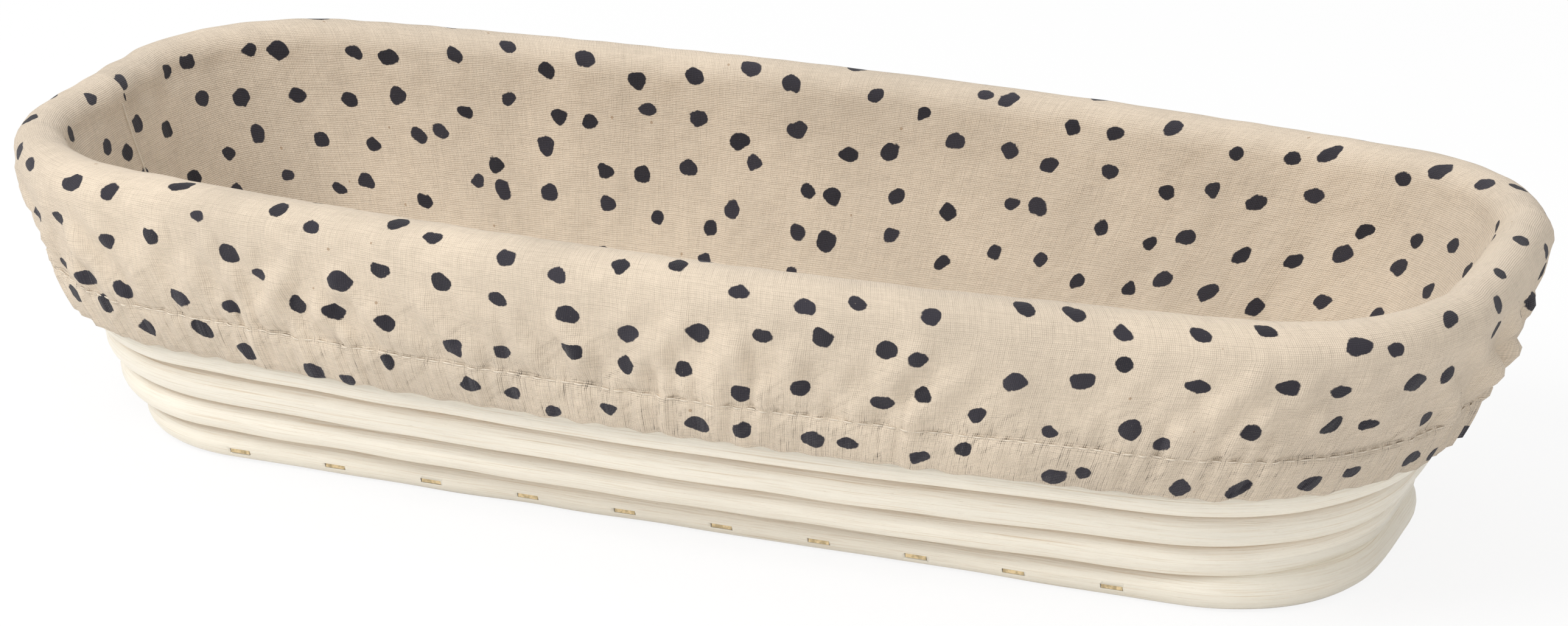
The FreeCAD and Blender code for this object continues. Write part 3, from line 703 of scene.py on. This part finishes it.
def liner_sleeve_rows():
    """Rows of points of the one sheet that lines the wall and hangs over the rim."""
    rng = np.random.default_rng(11)
    shares = np.linspace(0, 1, sizes().columns + 1)
    rows = []
    profile = sleeve_profile()
    heights = np.array([row[0] for row in profile])
    across = profile_run(profile)
    top, bottom, rim = sizes().hem_top, sizes().hem_bottom, HEIGHTS[LAST]
    run = across[:, None] / (100 * MM)
    grid = shares[None, :]
    fine = waves(grid, run, 120, 210, 14, rng)
    broad = waves(grid, run, 34, 80, 12, rng)
    slanting = waves(grid, run, 45, 95, 12, rng, slant=5.0)
    slow = waves(grid, run, 5, 22, 9, rng)
    scallop = waves(grid, 0.0, 60, 110, 9, rng)
    uneven = np.clip(0.75 + 0.35 * waves(grid, 0.0, 3, 12, 6, rng), 0.25, 1.5)
    for index, (height, distance, zone) in enumerate(profile):
        outline = OUTLINES[LAST].grown(distance) if zone == "roll" else wall_skin(height, distance)
        points, outward = outline.places(shares)
        out = np.zeros(len(shares))
        lift = np.zeros(len(shares))
        if zone == "pocket":
            share = (rim - height) / (rim - heights[0])
            depth = 0.55 * MM * math.sin(math.pi * min(share, 0.97)) ** 0.6
            out -= depth * (1.1 + 0.55 * slow[index] + 0.35 * broad[index])
            out = np.minimum(out, 0.15 * MM)
        elif zone == "roll":
            out += 0.16 * MM * (broad[index] + slow[index])
        elif zone == "skirt":
            down = (rim - height) / (rim - top)
            gather = sizes().gathers * down ** 1.6 * (0.55 * fine[index] + 0.5 * broad[index])
            wrinkle = sizes().wrinkles * math.sin(math.pi * down ** 0.8 * 0.86) * slanting[index]
            out += stand_off(height) + (gather + wrinkle) * uneven[0]
            out += 0.5 * MM * down * slow[index]
            if height < top + 0.5 * MM:
                out -= 0.9 * MM
            out = np.maximum(out, 0.3 * MM)
        elif zone == "casing":
            down = (top - height) / (top - bottom)
            plump = 0.35 * MM * math.sin(math.pi * min(max(down, 0.0), 1.0))
            gather = sizes().gathers * (0.5 * fine[index] + 0.25 * broad[index])
            out += stand_off(height) + plump + gather * uneven[0]
            out = np.maximum(out, 1.8 * MM)
            lift += 0.22 * MM * down * scallop[0]
        elif zone == "edge":
            out += 1.1 * MM
            lift += 0.22 * MM * scallop[0]
        else:
            lift += 0.2 * MM * scallop[0] * (height < bottom + 4 * MM)
        z = height + lift
        rows.append(np.column_stack((points + outward * out[:, None], z)))
    rows = np.array(rows)
    rows[:, -1] = rows[:, 0]
    length = OUTLINES[LAST].grown(CANE_RADIUS).length()
    uvs = np.stack((np.broadcast_to(shares * length, (len(profile), len(shares))),
                    np.broadcast_to(across[:, None], (len(profile), len(shares)))), axis=-1)
    return rows, uvs, across, length


# ---------- operators ----------

class BANNETON_OT_canes(bpy.types.Operator):
    """Makes the canes of the floor and the wall"""
    bl_idname = "banneton.canes"
    bl_label = "Rattan canes"

    def execute(self, context):
        material = rattan_material()
        rng = np.random.default_rng(3)
        turns = [(name, OUTLINES[i], HEIGHTS[i]) for i, name in enumerate(WALL_CANES)]
        turns += [(name, floor_outline(i + 1), FLOOR_MIDDLE) for i, name in enumerate(FLOOR_CANES)]
        for number, (node, outline, height) in enumerate(turns):
            points, uvs = tube_rows(outline, height, 24, 560, rng)
            uvs[..., 0] += number * 1.7
            cane = wrapped_grid("round_" + node, points, uvs)
            close_and_smooth(cane)
            if node == WALL_CANES[0]:
                cut_staple_slots(cane)
                cane.data.shade_smooth()
            dress(cane, material, "basket", "rattan_cane", node)
        return {"FINISHED"}


class BANNETON_OT_liner(bpy.types.Operator):
    """Makes the liner's sleeve, its floor and the stitches of its hem"""
    bl_idname = "banneton.liner"
    bl_label = "Cotton liner"

    def execute(self, context):
        cotton = cotton_material("dotted_cotton_sleeve", "sleeve")
        rows, uvs, across, length = liner_sleeve_rows()
        sleeve = wrapped_grid("liner_sleeve", rows, uvs)
        close_and_smooth(sleeve, sizes().cloth)
        dress(sleeve, cotton, "liner", "liner_cloth",
              "liner_wall_band", "liner_rim_roll", "liner_skirt", "hem_casing")
        self.floor(cotton_material("dotted_cotton_floor", "floor"))
        self.stitches(rows)
        return {"FINISHED"}

    def floor(self, cotton):
        """The cloth that lies on the floor canes, closed along its middle."""
        low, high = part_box("liner_floor_panel")
        middle = (low[2] + high[2]) / 2
        foot = CANE_RADIUS + CLOTH_CLEARANCE + sizes().cloth
        outline = wall_skin(high[2], -foot)
        shares = np.linspace(0, 1, 321)
        edge = outline.places(shares)[0]
        spine = np.column_stack((edge[:, 0] * 0.72, np.zeros(len(shares))))
        rng = np.random.default_rng(5)
        rows = []
        for step in range(25):
            share = step / 24
            flat = edge * (1 - share) + spine * share
            lift = 0.35 * MM * (1 - share) * waves(shares, share, 6, 24, 8, rng) * min(1, share * 6)
            rows.append(np.column_stack((flat, middle + np.maximum(lift, -0.05 * MM))))
        rows = np.array(rows)
        rows[:, -1] = rows[:, 0]
        panel = wrapped_grid("liner_floor_cloth", rows, rows[..., :2].copy())
        close_and_smooth(panel, sizes().cloth)
        dress(panel, cotton, "liner", "liner_cloth", "liner_floor_panel")

    def stitches(self, rows):
        """The row of stitches that closes the hem's casing."""
        heights = [row[0] for row in sleeve_profile()]
        zones = [row[2] for row in sleeve_profile()]
        seam = max(i for i, zone in enumerate(zones) if zone == "skirt")
        line = rows[seam] * 0.5 + rows[seam + 1] * 0.5
        steps = np.linalg.norm(np.diff(line, axis=0), axis=1)
        run = np.concatenate(([0.0], np.cumsum(steps)))
        count = int(run[-1] / (sizes().stitch * 1.3))
        start_piece()
        bpy.ops.mesh.primitive_uv_sphere_add(segments=8, ring_count=6, radius=1.0)
        pattern = bpy.context.object
        shape = np.array([vertex.co[:] for vertex in pattern.data.vertices])
        faces = [tuple(face.vertices) for face in pattern.data.polygons]
        bpy.data.objects.remove(pattern)
        vertices = []
        polygons = []
        for index in range(count):
            middle = run[-1] * (index + 0.5) / count
            reach = shape[:, 2] * sizes().stitch / 2
            spots = np.column_stack([np.interp(middle + reach, run, line[:, axis])
                                     for axis in range(3)])
            ahead = spots[np.argmax(reach)] - spots[np.argmin(reach)]
            ahead /= np.linalg.norm(ahead)
            side = np.cross(ahead, (0, 0, 1))
            side /= np.linalg.norm(side)
            arch = (1 - shape[:, 2:3] ** 2) * 0.20 * MM + 0.36 * MM
            body = spots + side * (shape[:, :1] * 0.20 * MM + arch)
            body = body + np.cross(side, ahead) * (shape[:, 1:2] * 0.22 * MM)
            polygons += [tuple(v + len(vertices) for v in face) for face in faces]
            vertices += body.tolist()
        mesh = bpy.data.meshes.new("hem_stitches")
        mesh.from_pydata(vertices, [], polygons)
        piece = bpy.data.objects.new("hem_stitches", mesh)
        bpy.context.collection.objects.link(piece)
        start_piece()
        close_and_smooth(piece)
        dress(piece, thread_material(), "liner", "cotton_thread", "hem_stitching")


class BANNETON_OT_fittings(bpy.types.Operator):
    """Gives the staples, the elastic, the strip and the seams their finishes"""
    bl_idname = "banneton.fittings"
    bl_label = "Finishes"

    def execute(self, context):
        finishes = {"base_staples": staple_material(), "hem_elastic": elastic_material(),
                    "floor_seam_stitching": thread_material()}
        finishes["floor_staples"] = finishes["wall_staples"] = finishes["base_staples"]
        finishes["band_seam_stitching"] = finishes["floor_seam_stitching"]
        for node, material in finishes.items():
            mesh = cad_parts[node].data
            mesh.materials.clear()
            mesh.materials.append(material)
        self.strip()
        return {"FINISHED"}

    def strip(self):
        """The straight middle cane of the floor, as a round-ended rod."""
        half_length = half_sizes("floor_strip")[0]
        rows = []
        uvs = []
        stations = np.linspace(0, 1, 201)
        x = -half_length * np.cos(math.pi * stations)
        x = np.sign(x) * np.minimum(np.abs(x), half_length)
        inside = np.maximum(np.abs(x) - (half_length - CANE_RADIUS), 0.0)
        radius = np.sqrt(np.maximum(CANE_RADIUS ** 2 - inside ** 2, 0.0))
        for step in range(25):
            angle = TURN * (step % 24) / 24
            z = np.maximum(FLOOR_MIDDLE + radius * math.sin(angle), 0.0)
            rows.append(np.column_stack((x, radius * math.cos(angle), z)))
            uvs.append(np.column_stack((x + 30, np.full(len(x), TURN * step / 24 * CANE_RADIUS))))
        rod = wrapped_grid("round_floor_strip", np.array(rows), np.array(uvs))
        close_and_smooth(rod)
        dress(rod, bpy.data.materials["peeled_rattan"], "basket", "rattan_cane", "floor_strip")


class BANNETON_OT_stage(bpy.types.Operator):
    """Makes the floor, the light and the camera"""
    bl_idname = "banneton.stage"
    bl_label = "Stage"

    def execute(self, context):
        scene = context.scene
        scene.view_settings.view_transform = "Standard"
        self.floor()
        self.world(scene)
        self.lamp("key", (-0.65, -0.85, 1.15), 0.8, 16.0)
        self.lamp("fill", (1.1, -0.9, 0.8), 1.2, 3.2)
        self.lamp("top", (0.0, 0.35, 1.4), 1.4, 5.0)
        self.camera(scene)
        return {"FINISHED"}

    def floor(self):
        """A wide pale floor that shows white and keeps the shadow."""
        start_piece()
        bpy.ops.mesh.primitive_plane_add(size=30.0, location=(0, 0, -0.05 * MM))
        floor = bpy.context.object
        floor.name = "pale_floor"
        nodes = Nodes("pale_floor")
        grain = nodes.noise(nodes.place(), 12, 2.0)
        nodes.finish(nodes.mix(nodes.range(grain, 0.3, 0.7), shaded(colours().floor, 0.995),
                               opaque(colours().floor)), 0.9)
        tree = nodes.tree
        glow = nodes.add("ShaderNodeEmission", Color=(1, 1, 1, 1), Strength=1.0)
        rays = tree.nodes.new("ShaderNodeLightPath")
        seen = nodes.math("MAXIMUM", rays.outputs["Is Camera Ray"],
                          nodes.math("MAXIMUM", rays.outputs["Is Glossy Ray"],
                                     rays.outputs["Is Transmission Ray"]))
        blend = nodes.add("ShaderNodeMixShader", Fac=nodes.math("MULTIPLY", seen, 0.86))
        tree.links.new(nodes.shader.outputs[0], blend.inputs[1])
        tree.links.new(glow.outputs[0], blend.inputs[2])
        tree.links.new(blend.outputs[0], tree.nodes["Material Output"].inputs[0])
        floor.data.materials.append(nodes.material)

    def world(self, scene):
        """Plain light from all round, seen as white."""
        world = bpy.data.worlds.new("studio")
        scene.world = world
        world.use_nodes = True
        tree = world.node_tree
        back = tree.nodes["Background"]
        back.inputs[0].default_value = (1.0, 1.0, 1.0, 1.0)
        rays = tree.nodes.new("ShaderNodeLightPath")
        level = tree.nodes.new("ShaderNodeMapRange")
        level.inputs[3].default_value = 0.50
        level.inputs[4].default_value = 1.0
        tree.links.new(rays.outputs["Is Camera Ray"], level.inputs[0])
        tree.links.new(level.outputs[0], back.inputs[1])

    def lamp(self, name, place, size, power):
        """A square soft lamp that faces the basket."""
        light = bpy.data.lights.new(name, "AREA")
        light.size = size
        light.energy = power
        lamp = bpy.data.objects.new(name, light)
        bpy.context.scene.collection.objects.link(lamp)
        lamp.location = place
        lamp.rotation_euler = Vector(place).to_track_quat("Z", "Y").to_euler()

    def camera(self, scene):
        """A long lens, a little above the basket and to its right."""
        turned = math.radians(22.2663)
        raised = math.radians(20.4362)
        rolled = math.radians(-0.2103)
        distance = 1.26667
        back = Vector((math.sin(turned) * math.cos(raised), -math.cos(turned) * math.cos(raised),
                       math.sin(raised)))
        right = Vector((math.cos(turned), math.sin(turned), 0))
        up = back.cross(right)
        sideways = right * math.cos(rolled) + up * math.sin(rolled)
        upwards = up * math.cos(rolled) - right * math.sin(rolled)
        lens = bpy.data.cameras.new("camera")
        lens.sensor_width = 36.0
        lens.lens = 118.335
        lens.shift_x = 0.012465
        lens.shift_y = -0.001661
        lens.clip_start = 0.01
        camera = bpy.data.objects.new("camera", lens)
        scene.collection.objects.link(camera)
        placed = Matrix((sideways, upwards, back)).transposed().to_4x4()
        placed.translation = Vector((0, 0, 0.0399)) + back * distance
        camera.matrix_world = placed
        scene.camera = camera


class BANNETON_PT_panel(bpy.types.Panel):
    """Lists the operators and the sizes"""
    bl_label = "Banneton"
    bl_idname = "BANNETON_PT_panel"
    bl_space_type = "VIEW_3D"
    bl_region_type = "UI"
    bl_category = "Banneton"

    def draw(self, context):
        for group in (context.scene.banneton_sizes, context.scene.banneton_colours):
            for name in group.bl_rna.properties.keys():
                if name not in ("rna_type", "name"):
                    self.layout.prop(group, name)
        for operator in OPERATORS:
            self.layout.operator(operator.bl_idname)


OPERATORS = (BANNETON_OT_canes, BANNETON_OT_liner, BANNETON_OT_fittings, BANNETON_OT_stage)
CLASSES = (BannetonSizes, BannetonColours) + OPERATORS + (BANNETON_PT_panel,)


def register():
    """Registers the classes and their properties."""
    for entry in CLASSES:
        bpy.utils.register_class(entry)
    bpy.types.Scene.banneton_sizes = PointerProperty(type=BannetonSizes)
    bpy.types.Scene.banneton_colours = PointerProperty(type=BannetonColours)


def unregister():
    """Takes the classes and their properties away."""
    del bpy.types.Scene.banneton_colours
    del bpy.types.Scene.banneton_sizes
    for entry in reversed(CLASSES):
        bpy.utils.unregister_class(entry)


def main():
    """Builds everything in order."""
    register()
    bpy.ops.banneton.canes()
    bpy.ops.banneton.liner()
    bpy.ops.banneton.fittings()
    bpy.ops.banneton.stage()


if __name__ == "__main__":
    main()
